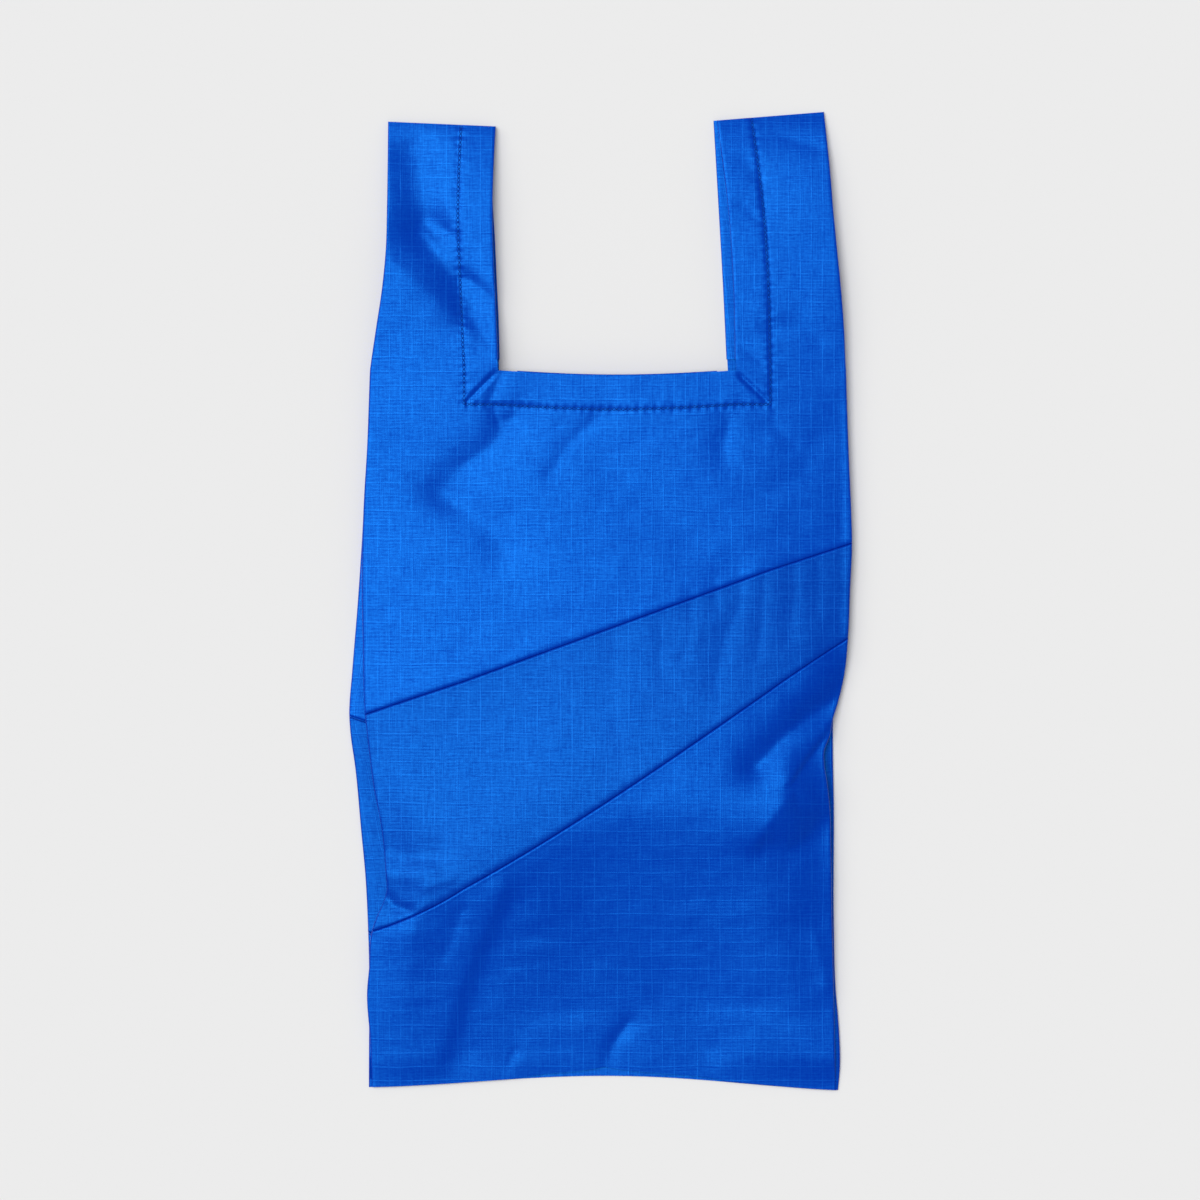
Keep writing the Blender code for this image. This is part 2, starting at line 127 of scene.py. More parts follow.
# The cloth stands up along the lower seam as far as RIDGE_TOP, and falls slowly above that
# crest and faster below it
RIDGE_HEIGHT = 0.0056
RIDGE_TOP = -0.115
RIDGE_BEND = 0.012        # roundness of the crest's bend at RIDGE_TOP
RIDGE_ABOVE = 0.070
RIDGE_BELOW = 0.056
RIDGE_AT_FOLD = 0.35      # its share of the height at a side fold, growing over RIDGE_FADE
RIDGE_FADE = 0.025

# How far the edges lie from straight lines across the bag
BOTTOM_LIFT = 0.0085      # the bottom edge in the middle
BOTTOM_CORNERS = (0.0022, 0.0005)
BOTTOM_DRAWN = 0.0016     # the front's is drawn up by this more near the middle
PINCH_DEPTH = 0.0036      # and pinched there, with its place and width as shares
PINCH_PLACE = 0.493
PINCH_WIDTH = 0.055
MOUTH_SAG = 0.0028
HANDLE_TOP_DROPS = ((LEFT_FOLD, 0.0056), (LEFT_EDGE, 0.0084), (RIGHT_EDGE, 0.0050),
                    (RIGHT_FOLD, 0.0))

# Wrinkles of the front, in millimetres from the bag's middle: the points of each crest or
# hollow, its height, its half width on the left of the path's direction and on the right,
# and its roundness, from 1 for a sharp crease to 2 for a soft swell
WRINKLES = (
    # Left handle
    (((-104, 250), (-102, 238), (-100, 224), (-97, 212)), -2.3, 12, 14, 1.9),
    (((-98, 212), (-91, 200), (-84, 189), (-78, 176), (-72, 165)), -2.8, 9, 14, 1.5),
    (((-126, 196), (-119, 191), (-100, 175), (-79.5, 157), (-62, 141)), 1.6, 12, 17, 1.2),
    (((-97, 206), (-90, 198), (-80.6, 187)), 0.8, 5, 3, 1.4),
    (((-87, 224), (-83, 216)), 0.4, 3, 3, 1.4),
    (((-88, 209), (-82, 204)), -0.6, 3, 3, 1.4),
    (((-94, 246), (-84, 234)), -0.3, 4, 4, 1.5),
    (((-78, 211), (-70, 210), (-58, 209)), 0.5, 12, 5, 1.1),
    (((-78, 184), (-66, 174), (-57, 166)), -1.5, 5, 12, 1.4),
    (((-75, 160), (-62, 143)), -1.0, 6, 9, 1.3),
    # Right handle
    (((93, 152), (112, 154), (122, 148)), -0.5, 5, 4, 1.2),
    (((82, 247), (90, 236), (92, 222)), -0.5, 5, 5, 1.3),
    (((80, 222), (90, 212)), -0.4, 3, 4, 1.3),
    (((76, 146), (90, 134)), -0.5, 4, 4, 1.2),
    (((100, 262), (122, 254)), -0.4, 5, 5, 1.3),
    # Upper panel
    (((-56, 127), (-61.5, 112), (-57, 101)), -1.0, 3.5, 4, 1.2),
    (((-49, 103), (-54.5, 96), (-62, 86), (-77, 76)), -2.4, 13, 10, 1.1),
    (((-114, 86), (-98, 69), (-84, 58)), -1.1, 14, 12, 1.6),
    (((-88, 60), (-74, 50), (-62, 42), (-54, 30)), -2.4, 12, 14, 1.4),
    (((-2, 103), (-17, 89), (-28, 72)), -0.8, 6, 6, 1.2),
    (((-36, 101), (-30, 95), (-24, 98)), -0.35, 3, 3, 1.3),
    (((3, 78), (26, 57), (45, 38), (67, 19)), -1.1, 14, 20, 1.1),
    (((72, 102), (69, 86)), -0.5, 4, 4, 1.2),
    (((66, 90), (72, 68), (92, 60), (112, 70), (120, 92)), -0.4, 8, 8, 1.4),
    (((96, 100), (108, 88)), -0.4, 5, 5, 1.3),
    # Band panel
    (((50, 5), (50.5, -14), (48, -30)), -0.28, 3.5, 4, 1.2),
    (((64, 12), (64.5, -4)), -0.25, 3, 4, 1.2),
    (((78, 16), (78, 0), (70, -22), (64, -48)), -0.42, 5, 7, 1.2),
    (((91.5, 18), (91, -2), (88, -28)), -0.30, 4, 5, 1.2),
    (((108, 22), (108.5, 4), (106, -20)), -0.45, 5, 7, 1.2),
    (((121.5, 24), (122, 8), (120, -8)), -0.28, 4, 5, 1.2),
    (((8, -20), (6, -50), (12, -90)), -0.28, 6, 8, 1.3),
    (((33, -12), (34, -40)), -0.25, 4, 5, 1.2),
    (((-78, -140), (-62, -154)), -0.4, 5, 5, 1.4),
    # Tuck at the left end of the lower seam
    (((-124, -140), (-110, -143.5), (-94, -143)), -2.2, 12, 6, 1.1),
    (((-120, -152), (-108, -154), (-94, -152)), 1.0, 6, 6, 1.3),
    (((-98, -160), (-84, -156)), 0.5, 3, 3, 1.3),
    (((-128, -158), (-115, -171.5), (-108, -173)), -1.7, 3, 3, 1.2),
    # Folds at the right end of the lower panel
    (((142, -40), (137, -46.5), (131.5, -55), (115, -65.5), (101, -78), (87, -92)),
     -3.4, 9, 9, 1.5),
    (((129, -72), (122.7, -80.7), (115, -91), (108, -102)), -1.5, 12, 1.8, 1.2),
    (((87, -135), (99, -118.5), (108.8, -104), (116, -109), (127, -116.6)), 1.7, 8, 8, 1.2),
    (((92, -138), (105, -140), (115, -134), (129, -119)), -3.2, 10, 14, 1.3),
    (((86, -132), (90.5, -155), (95, -189), (104, -212), (115, -238), (130, -256)),
     2.6, 27, 34, 1.3),
    (((121, -190), (126, -215)), 0.6, 5, 5, 1.3),
    # Lower panel, left
    (((-56, -163), (-68, -190), (-79, -216), (-91, -258)), 0.7, 6, 14, 1.1),
    (((-49, -168), (-60, -194), (-70, -220), (-80, -256)), -0.8, 14, 8, 1.7),
    (((-78, -174), (-87, -198)), -0.5, 4, 6, 1.3),
    # Bottom edge
    (((-58, -257), (-49, -242), (-30, -229), (-8, -228), (3, -235)), -0.5, 20, 9, 1.2),
    (((3, -262), (7.5, -248), (15, -237)), -1.1, 4, 5, 1.1),
    (((33, -222), (47, -238), (60, -252)), -0.9, 12, 9, 1.2),
    (((60, -226), (90, -228), (118, -236)), -0.6, 16, 10, 1.2),
    (((-52, -262), (-48, -252)), -0.5, 3, 3, 1.2),
)
CREASE_ROUNDING = 0.06    # even a sharp crease is a little round
MM = 0.001

# The cloth's small unevenness, broad to fine: height, size of its cells across and up
UNEVEN = ((0.00014, 0.034, 0.026), (0.00012, 0.015, 0.011), (0.00004, 0.008, 0.0045))
UNEVEN_BEND = 0.010       # and how far its cells are bent, over a wider one
UNEVEN_BEND_CELL = 0.05

# Relief of the front's hem: heights, and the widths that they fall off over
HEM_STEP, HEM_STEP_WIDTH = 0.00035, 0.0012        # where the cloth is double
STITCH_PULL, STITCH_PULL_WIDTH = 0.00034, 0.0013  # the thread draws it in
PUCKER, PUCKER_WIDTH = 0.00022, 0.0020            # at each stitch
RIPPLE, RIPPLE_WIDTH = 0.00018, 0.006             # and less evenly farther away
RIPPLE_CELL = (0.0048, 0.012)
MITRE_DEPTH, MITRE_WIDTH = 0.0010, 0.0011         # crease across each corner

# How the layers lie on each other
GUSSET_ROOM = 0.0006      # least height kept for the gussets under the front
CONTACT = 0.0003          # roundness where the front comes down on the layers below
BACK_LIFT = 0.00015       # unevenness of the back on the floor
GUSSET_INSET = 0.0015     # the gusset stays this far inside a strap's edge
BILLOW = 0.0008           # and sags by this between its folds


def smoothstep(value):
    value = np.clip(value, 0.0, 1.0)
    return value * value * (3 - 2 * value)


def through(knots, at):
    """Values at an array of places of the smooth curve through (place, value) knots."""
    places = np.array([knot[0] for knot in knots], dtype=float)
    values = np.array([knot[1] for knot in knots], dtype=float)
    slopes = np.gradient(values, places)
    index = np.clip(np.searchsorted(places, at) - 1, 0, len(places) - 2)
    span = places[index + 1] - places[index]
    s = np.clip((at - places[index]) / span, 0.0, 1.0)
    return (
        (2 * s**3 - 3 * s**2 + 1) * values[index]
        + (s**3 - 2 * s**2 + s) * span * slopes[index]
        + (3 * s**2 - 2 * s**3) * values[index + 1]
        + (s**3 - s**2) * span * slopes[index + 1]
    )


def lattice_noise(x, y, cell_x, cell_y, seed):
    """Smooth noise from -1 to 1 with cells of the given size."""
    values = np.random.default_rng(seed).uniform(-1, 1, (64, 64))
    u, v = x / cell_x + 500.5, y / cell_y + 500.5
    i, j = np.floor(u).astype(int), np.floor(v).astype(int)
    s, t = smoothstep(u - i), smoothstep(v - j)
    near = values[i % 64, j % 64] * (1 - s) + values[(i + 1) % 64, j % 64] * s
    far = values[i % 64, (j + 1) % 64] * (1 - s) + values[(i + 1) % 64, (j + 1) % 64] * s
    return near * (1 - t) + far * t


def climb(height):
    """Place up the bag of a height above the bottom corners: 1 is the mouth, 2 the top."""
    above = 1 + (height - BODY_HEIGHT) / HANDLE_LENGTH
    return np.where(height <= BODY_HEIGHT, height / BODY_HEIGHT, above)


def fold_x(drifts, hand, place):
    """X of a side fold at places up the bag."""
    sign = -1 if hand == "left" else 1
    return sign * (HALF_WIDTH - through(drifts[hand], place))


def strap_x(drifts, hand, place):
    """X of a strap's hemmed edge, carried on straight down below the mouth."""
    sign = -1 if hand == "left" else 1
    return sign * (HALF_WIDTH - HANDLE_WIDTH - through(drifts[hand], np.maximum(place, 1)))


def folded_over(across):
    """The place on the face that a place on a gusset lies under."""
    return np.minimum(np.maximum(across, -across), 2 * RIGHT_FOLD - across)


def share_across(across):
    """Distance across the opened-out cloth, 0 at the left fold and 1 at the right one."""
    ones = np.ones(1)
    folds = [float(fold_x(FRONT_FOLD_DRIFT, hand, ones)[0]) for hand in ("left", "right")]
    edges = [float(strap_x(FRONT_STRAP_DRIFT, hand, ones)[0]) for hand in ("left", "right")]
    places = (LEFT_FOLD - 2, LEFT_FOLD, STITCH_PLACE, LEFT_EDGE, RIGHT_EDGE,
              RIGHT_FOLD - STITCH_PLACE, RIGHT_FOLD, RIGHT_FOLD + 2)
    strap = 2 * HANDLE_WIDTH
    xs = (folds[0] - strap, folds[0], edges[0] - STITCH_INSET, edges[0], edges[1],
          edges[1] + STITCH_INSET, folds[1], folds[1] + strap)
    return (np.interp(across, places, xs) - folds[0]) / (folds[1] - folds[0])


def lower_seam_at(share):
    sag = LOWER_SEAM_SAG * np.sin(math.pi * np.clip(share, 0, 1) ** 0.7)
    return LOWER_PANEL_LEFT + (LOWER_PANEL_RIGHT - LOWER_PANEL_LEFT) * share - sag


def lower_seam(across):
    return lower_seam_at(share_across(across))


def upper_seam(across):
    left = LOWER_PANEL_LEFT + BAND_LEFT
    right = LOWER_PANEL_RIGHT + BAND_RIGHT
    return left + (right - left) * share_across(across)


def bottom(across):
    """Height of the bottom edge, which the layers share."""
    share = np.clip(share_across(folded_over(across)), 0, 1)
    corners = BOTTOM_CORNERS[0] + (BOTTOM_CORNERS[1] - BOTTOM_CORNERS[0]) * share
    return corners + (BOTTOM_LIFT - corners) * np.sin(math.pi * share) ** 1.5


def front_bottom(across):
    """The front's bottom edge, which is drawn up a little and pinched near the middle."""
    share = np.clip(share_across(folded_over(across)), 0, 1)
    drawn = BOTTOM_DRAWN * smoothstep((share - 0.28) / 0.1) * smoothstep((0.78 - share) / 0.1)
    pinch = PINCH_DEPTH * np.exp(-np.abs(share - PINCH_PLACE) / PINCH_WIDTH)
    return bottom(across) + drawn + pinch


def mouth(across):
    share = np.clip(across - LEFT_EDGE, 0, 1)
    return BODY_HEIGHT - MOUTH_SAG * np.sin(math.pi * share)


def hem_line(across):
    return mouth(across) - STITCH_INSET


def handle_top(across):
    places, drops = zip(*HANDLE_TOP_DROPS)
    return LENGTH - np.interp(folded_over(across), places, drops)


def fold_radius(place):
    """Roundness of the side folds, which are flat where the ends are sewn."""
    height = np.where(place <= 1, place * BODY_HEIGHT, BODY_HEIGHT + (place - 1) * HANDLE_LENGTH)
    opened = smoothstep(np.minimum(height, LENGTH - height) / SEWN_END)
    return LAYER_PITCH / 2 + (FOLD_RADIUS - LAYER_PITCH / 2) * opened


def face_x(side, across, place):
    """X of points on a face, between the side folds."""
    folds = FRONT_FOLD_DRIFT if side == "front" else BACK_FOLD_DRIFT
    straps = FRONT_STRAP_DRIFT if side == "front" else BACK_STRAP_DRIFT
    radius = fold_radius(place)
    left_edge = strap_x(straps, "left", place)
    right_edge = strap_x(straps, "right", place)
    places = (FOLD_TURN, STITCH_PLACE, LEFT_EDGE, RIGHT_EDGE, RIGHT_FOLD - STITCH_PLACE,
              RIGHT_FOLD - FOLD_TURN)
    xs = (fold_x(folds, "left", place) + radius, left_edge - STITCH_INSET, left_edge,
          right_edge, right_edge + STITCH_INSET, fold_x(folds, "right", place) - radius)
    x = xs[0]
    for i in range(len(places) - 1):
        share = np.clip((across - places[i]) / (places[i + 1] - places[i]), 0, 1)
        x = x + (xs[i + 1] - xs[i]) * share
    return x


def beside_path(points, x, y):
    """Distance of each point from a path of straight runs, and how far on its left the
    point is: 1 square to the left, -1 square to the right and between them past an end."""
    nearest = np.full(x.shape, np.inf)
    leftness = np.zeros(x.shape)
    for (x0, y0), (x1, y1) in zip(points, points[1:]):
        run_x, run_y = x1 - x0, y1 - y0
        run = math.hypot(run_x, run_y)
        share = np.clip(((x - x0) * run_x + (y - y0) * run_y) / run**2, 0, 1)
        away_x, away_y = x - x0 - run_x * share, y - y0 - run_y * share
        distance = np.hypot(away_x, away_y) + 1e-9
        side = (run_x * away_y - run_y * away_x) / (run * distance)
        leftness = np.where(distance < nearest, side, leftness)
        nearest = np.minimum(nearest, distance)
    return nearest, leftness


def wrinkles(x, y):
    """Height that the named wrinkles and the cloth's small unevenness add."""
    total = np.zeros(x.shape)
    for points, height, left_width, right_width, roundness in WRINKLES:
        path = [(px * MM, py * MM) for px, py in points]
        distance, leftness = beside_path(path, x, y)
        width = (left_width + right_width + (left_width - right_width) * leftness) / 2 * MM
        away = np.sqrt((distance / width) ** 2 + CREASE_ROUNDING)
        total += height * MM * np.exp(-(away ** roundness))
    bend = UNEVEN_BEND * lattice_noise(x, y, UNEVEN_BEND_CELL, UNEVEN_BEND_CELL, 3)
    bent = ((x + bend, y - bend), (x - bend, y + bend), (x + bend, y))
    for seed, (height, cell_x, cell_y), (bent_x, bent_y) in zip((4, 5, 6), UNEVEN, bent):
        total += height * lattice_noise(bent_x, bent_y, cell_x, cell_y, seed)
    return total


def ridge(x, y):
    """The crest along the lower seam, steeper below it."""
    seam_y = lower_seam_at((x + HALF_WIDTH) / WIDTH) - LENGTH / 2
    crest = -RIDGE_BEND * np.logaddexp(-seam_y / RIDGE_BEND, -RIDGE_TOP / RIDGE_BEND)
    away = y - crest
    above = np.exp(-((away / RIDGE_ABOVE) ** 2))
    below = np.exp(-((np.abs(away) / RIDGE_BELOW) ** 1.4))
    return RIDGE_HEIGHT * np.where(away >= 0, above, below)


def hem_relief(x, y):
    """The doubled cloth of the front hem, its line of stitching and the corners' creases."""
    place = climb(y + LENGTH / 2)
    left = strap_x(FRONT_STRAP_DRIFT, "left", place) - x
    right = x - strap_x(FRONT_STRAP_DRIFT, "right", place)
    share = (x - strap_x(FRONT_STRAP_DRIFT, "left", 1.0)) / (WIDTH - 2 * HANDLE_WIDTH)
    mouth_y = BODY_HEIGHT - LENGTH / 2 - MOUTH_SAG * np.sin(math.pi * np.clip(share, 0, 1))
    below = mouth_y - y
    # Distance from the cut-out's edge, measured square to it
    inside = np.maximum(np.maximum(left, right), below)
    doubled = HEM_STEP * smoothstep((HEM - inside) / HEM_STEP_WIDTH)
    line = inside - STITCH_INSET
    pull = -STITCH_PULL * np.exp(-((line / STITCH_PULL_WIDTH) ** 2))
    along = np.where(below >= np.maximum(left, right), x, y)
    pucker = np.sin(2 * math.pi * along / STITCH_PITCH) * np.exp(-((line / PUCKER_WIDTH) ** 2))
    ripple = lattice_noise(along, line, *RIPPLE_CELL, 9) * np.exp(-((line / RIPPLE_WIDTH) ** 2))
    mitre = np.zeros(x.shape)
    for reach in (left, right):
        across_mitre = (below - reach) / math.sqrt(2)
        on_mitre = smoothstep(reach / 0.003) * smoothstep((STITCH_INSET - reach) / 0.002)
        mitre -= MITRE_DEPTH * np.exp(-((across_mitre / MITRE_WIDTH) ** 2)) * on_mitre
    return doubled + pull - PUCKER * pucker + RIPPLE * ripple + mitre


def front_z(x, y):
    """Height over the floor of the front face."""
    height = y + LENGTH / 2
    place = climb(height)
    at_fold = through(FOLD_HEIGHT, place)
    at_crown = through(CROWN_HEIGHT, place)
    crown = 1 - np.minimum(np.abs(x) / HALF_WIDTH, 1) ** CROWN_FLATNESS
    z = at_fold + (at_crown - at_fold) * crown
    opened = smoothstep(np.minimum(height, LENGTH - height) / SEWN_END)
    off_gussets = smoothstep((HALF_WIDTH - GUSSET_HALF - np.abs(x)) / SEWN_END)
    left = x - fold_x(FRONT_FOLD_DRIFT, "left", place)
    right = fold_x(FRONT_FOLD_DRIFT, "right", place) - x
    inside = smoothstep(np.minimum(left, right) / RIDGE_FADE)
    ridge_share = RIDGE_AT_FOLD + (1 - RIDGE_AT_FOLD) * inside
    relief = (wrinkles(x, y) + ridge(x, y) * ridge_share) * opened
    z = z + relief + hem_relief(x, y) - LAYER_PITCH * off_gussets * (1 - opened)
    lowest = FLOOR_LAYER + 2.5 * LAYER_PITCH + GUSSET_ROOM * opened
    return lowest + CONTACT * np.logaddexp(0, (z - lowest) / CONTACT)


def back_z(x, y):
    """Height of the back face, which lies on the floor."""
    return FLOOR_LAYER + BACK_LIFT * (1 + lattice_noise(x, y, 0.02, 0.02, 11))


def lay(side, across, height):
    """Where points of the cloth come to lie, from their places round the bag and their
    heights up the cloth. Also the cloth's own coordinates, for its weave."""
    left = across < (LEFT_EDGE + RIGHT_EDGE) / 2
    inward = np.where(left, across, RIGHT_FOLD - across)
    sign = np.where(left, -1.0, 1.0)
    place = climb(height)
    y = height - LENGTH / 2
    radius = fold_radius(place)
    own, other = FRONT_FOLD_DRIFT, BACK_FOLD_DRIFT
    if side == "back":
        own, other = other, own
    fold = np.where(left, fold_x(own, "left", place), fold_x(own, "right", place))
    behind = np.where(left, fold_x(other, "left", place), fold_x(other, "right", place))
    up = 1 if side == "front" else -1
    surface = front_z if side == "front" else back_z
    level = surface(fold, y)

    x_face = face_x(side, across, place)
    z_face = surface(x_face, y)

    angle = math.pi / 2 * np.clip(inward / FOLD_TURN, -1, 1)
    x_turn = fold - sign * radius * (1 - np.cos(angle))
    z_turn = level + up * radius * (np.sin(angle) - 1)

    seam_x = (fold + behind) / 2 - sign * GUSSET_HALF
    share = np.clip((-inward - FOLD_TURN) / (SEAM_PLACE - FOLD_TURN), 0, 1)
    x_under = fold - sign * radius + (seam_x - fold + sign * radius) * share
    beside_fold = level - up * 2 * radius
    middle = (front_z(fold, y) + FLOOR_LAYER) / 2
    beside_seam = middle + up * LAYER_PITCH / 2
    beside_seam = beside_seam + (beside_fold - beside_seam) * smoothstep((place - 1) * 4)
    z_under = beside_fold + (beside_seam - beside_fold) * share
    front_edge = np.where(left, strap_x(FRONT_STRAP_DRIFT, "left", place),
                          strap_x(FRONT_STRAP_DRIFT, "right", place))
    hidden = np.where(left, np.minimum(x_under, front_edge - GUSSET_INSET),
                      np.maximum(x_under, front_edge + GUSSET_INSET))
    x_under = np.where(place > 1, hidden, x_under)
    over = front_z(x_under, y)
    if side == "front":
        z_under = np.minimum(z_under, over - 2 * LAYER_PITCH)
    else:
        z_under = np.clip(z_under, back_z(x_under, y) + LAYER_PITCH, over - 3 * LAYER_PITCH)
    billow = BILLOW * lattice_noise(x_under, y, 0.03, 0.02, 21) * np.sin(math.pi * share)
    z_under = z_under - np.abs(billow) * smoothstep((1 - place) * 6) * (side == "front")

    on_face, on_turn = inward >= FOLD_TURN, np.abs(inward) < FOLD_TURN
    x = np.where(on_face, x_face, np.where(on_turn, x_turn, x_under))
    z = np.where(on_face, z_face, np.where(on_turn, z_turn, z_under))
    unrolled = np.where(on_face, x, 2 * fold - x)
    return x, y, z, unrolled


def even(start, end, spacing):
    """Evenly spaced values from start to end, at most the spacing apart."""
    count = max(1, math.ceil((end - start) / spacing - 1e-6))
    return [start + (end - start) * i / count for i in range(count + 1)]


def columns_across(spacing, gusset_spacing):
    """Places round the bag of a piece's columns, from side seam to side seam."""
    turn = [FOLD_TURN * i / 4 for i in range(-4, 5)]
    under = even(-1, -FOLD_TURN, gusset_spacing / HANDLE_WIDTH)
    near = STITCH_BAND / HANDLE_WIDTH
    close = spacing / 2 if spacing < STITCH_BAND else spacing
    strap = [-SEAM_PLACE, *under[:-1], *turn,
             *even(FOLD_TURN, STITCH_PLACE - near, spacing / HANDLE_WIDTH)[1:],
             *even(STITCH_PLACE - near, STITCH_PLACE, close / HANDLE_WIDTH)[1:],
             *even(STITCH_PLACE, STITCH_PLACE + near, close / HANDLE_WIDTH)[1:],
             *even(STITCH_PLACE + near, LEFT_EDGE, spacing / HANDLE_WIDTH)[1:]]
    middle = even(LEFT_EDGE, RIGHT_EDGE, spacing / (WIDTH - 2 * HANDLE_WIDTH))[1:-1]
    return np.array(strap + middle + [RIGHT_FOLD - place for place in reversed(strap)])


# How far rows close to a seam lie from it, and how deep the cloth sinks there: above a seam
# it rolls gently into the groove, and below one it drops sharply
ABOVE_SEAM = ((0.0001, SEAM_LIP), (0.0003, 0.0007), (0.0006, 0.00042), (0.0010, 0.00025),
              (0.0016, 0.00013), (0.0025, 0.00006), (0.0038, 0.00002))
BELOW_SEAM = ((0.0001, SEAM_LIP), (0.0002, 0.0005), (0.0004, 0.00020), (0.0007, 0.00003),
              (0.0011, -0.00008), (0.0018, -0.00006), (0.0030, 0.0))


def rows_between(low, high, spacing, low_rolls=(), high_rolls=()):
    """Rows from one edge of a piece to another, each a function that gives its height in
    every column, and how deep the cloth sinks there."""
    middle = np.array([LEFT_FOLD, 1.5, RIGHT_FOLD])
    length = float(np.max(high(middle) - low(middle)))
    start = low_rolls[-1][0] if low_rolls else 0.0
    end = high_rolls[-1][0] if high_rolls else 0.0
    shares = even(0.0, 1.0, spacing / (length - start - end))

    def fixed(edge, offset):
        return lambda across: edge(across) + offset

    def shared(share):
        return lambda across: (low(across) + start) * (1 - share) + (high(across) - end) * share

    rows = [(fixed(low, offset), sink) for offset, sink in low_rolls[:-1]]
    rows += [(shared(share), 0.0) for share in shares]
    rows += [(fixed(high, -offset), sink) for offset, sink in reversed(high_rolls[:-1])]
    return rows


def hem_tucks():
    """Distances along the cloth of a hem's rows past the edge: round it and back under."""
    turn = [math.pi * HEM_RADIUS * i / 4 for i in range(1, 5)]
    return turn + [0.003, 0.007, 0.013, HEM]


def cloth_grid(name, side, columns, rows, cut_from=None):
    """A piece of cloth as a grid laid into place. From the row cut_from upwards, where the
    mouth's cut-out is, only the straps and the hem's folded-in cloth are kept."""
    across = np.array(columns)
    heights = np.stack([row(across) for row, _ in rows])
    sinks = np.array([sink for _, sink in rows])[:, None] * np.ones(len(across))
    grid_across = np.broadcast_to(across, heights.shape)
    tucks = hem_tucks()
    x, y, z, unrolled = lay(side, grid_across, heights)
    z = z - sinks if side == "front" else z + sinks
    kind = np.zeros(heights.shape, dtype=int)      # 1 mouth's hem, 2 straps' hems, 3 cut away
    if cut_from is not None:
        surface = front_z if side == "front" else back_z
        up = 1 if side == "front" else -1
        i_left = int(np.argmin(np.abs(across - LEFT_EDGE)))
        i_right = int(np.argmin(np.abs(across - RIGHT_EDGE)))
        kind[cut_from + 1:, i_left + 1:i_right] = 3
        kind[cut_from + 1:, across < -1 - 1e-6] = 3
        kind[cut_from + 1:, across > RIGHT_FOLD + 1 + 1e-6] = 3
        for k, tuck in enumerate(tucks, start=1):
            angle = min(tuck / HEM_RADIUS, math.pi)
            out = HEM_RADIUS * math.sin(angle) - max(tuck - math.pi * HEM_RADIUS, 0)
            down = HEM_RADIUS * (1 - math.cos(angle))
            span = slice(i_left + len(tucks), i_right - len(tucks) + 1)
            row = cut_from + k
            kind[row, span] = 1
            x[row, span] = x[cut_from, span]
            y[row, span] = y[cut_from, span] + out
            z[row, span] = surface(x[row, span], y[row, span]) - up * down
            unrolled[row, span] = x[row, span]
            for column, edge, outward in ((i_left + k, i_left, 1), (i_right - k, i_right, -1)):
                strap = slice(cut_from + len(tucks), None)
                kind[strap, column] = 2
                x[strap, column] = x[strap, edge] + outward * out
                y[strap, column] = y[strap, edge]
                z[strap, column] = surface(x[strap, column], y[strap, column]) - up * down
                unrolled[strap, column] = x[strap, edge] + outward * tuck

    mesh = bpy.data.meshes.new(name)
    bm = bmesh.new()
    across_cells, up_cells = len(columns) - 1, len(rows) - 1
    bmesh.ops.create_grid(bm, x_segments=across_cells, y_segments=up_cells, size=0.5)
    uv = bm.loops.layers.uv.new("cloth")
    place = {}
    for vertex in bm.verts:
        i = round((vertex.co.x + 0.5) * across_cells)
        j = round((vertex.co.y + 0.5) * up_cells)
        place[vertex] = (j, i)
    cut = []
    for face in bm.faces:
        kinds = {int(kind[place[vertex]]) for vertex in face.verts}
        if 3 in kinds or {1, 2} <= kinds:
            cut.append(face)
        for loop in face.loops:
            j, i = place[loop.vert]
            loop[uv].uv = (unrolled[j, i], y[j, i])
    for vertex, (j, i) in place.items():
        vertex.co = (x[j, i], y[j, i], z[j, i])
    bmesh.ops.delete(bm, geom=cut, context="FACES")
    bm.to_mesh(mesh)
    bm.free()
    mesh.shade_smooth()
    piece = bpy.data.objects.new(name, mesh)
    bpy.context.scene.collection.objects.link(piece)
    thickness = piece.modifiers.new("Cloth", "SOLIDIFY")
    thickness.thickness = CLOTH
    thickness.offset = 0
    ready = piece.evaluated_get(bpy.context.evaluated_depsgraph_get())
    thick = bpy.data.meshes.new_from_object(ready)
    thick.set_sharp_from_angle(angle=CUT_EDGE)
    piece.modifiers.clear()
    piece.data = thick
    return piece


def stitch_route():
    """The line of stitching as the thread runs: down the left strap's hem, along the
    mouth's and up the right strap's. Gives the length run so far, and x and y."""
    share = np.linspace(0, 1, 200)
    left = np.full(200, STITCH_PLACE)
    right = np.full(200, RIGHT_FOLD - STITCH_PLACE)
    between = np.linspace(STITCH_PLACE, RIGHT_FOLD - STITCH_PLACE, 300)
    down = handle_top(left) + (hem_line(left) - handle_top(left)) * share
    up = hem_line(right) + (handle_top(right) - hem_line(right)) * share
    across = np.concatenate([left, between, right])
    height = np.concatenate([down, hem_line(between), up])
    x, y, _, _ = lay("front", across, height)
    steps = np.hypot(np.diff(x), np.diff(y))
    keep = np.concatenate([[True], steps > 1e-7])
    x, y = x[keep], y[keep]
    length = np.concatenate([[0], np.cumsum(np.hypot(np.diff(x), np.diff(y)))])
    return length, x, y


STITCH_END = 0.0004       # the stitching stops this far from the sewn tops
STITCH_DIVE = 0.00016     # the threads cross over and under each other by this
STITCH_TILT = 0.00008
STITCH_PROUD = 0.0001     # how far they stand over the cloth


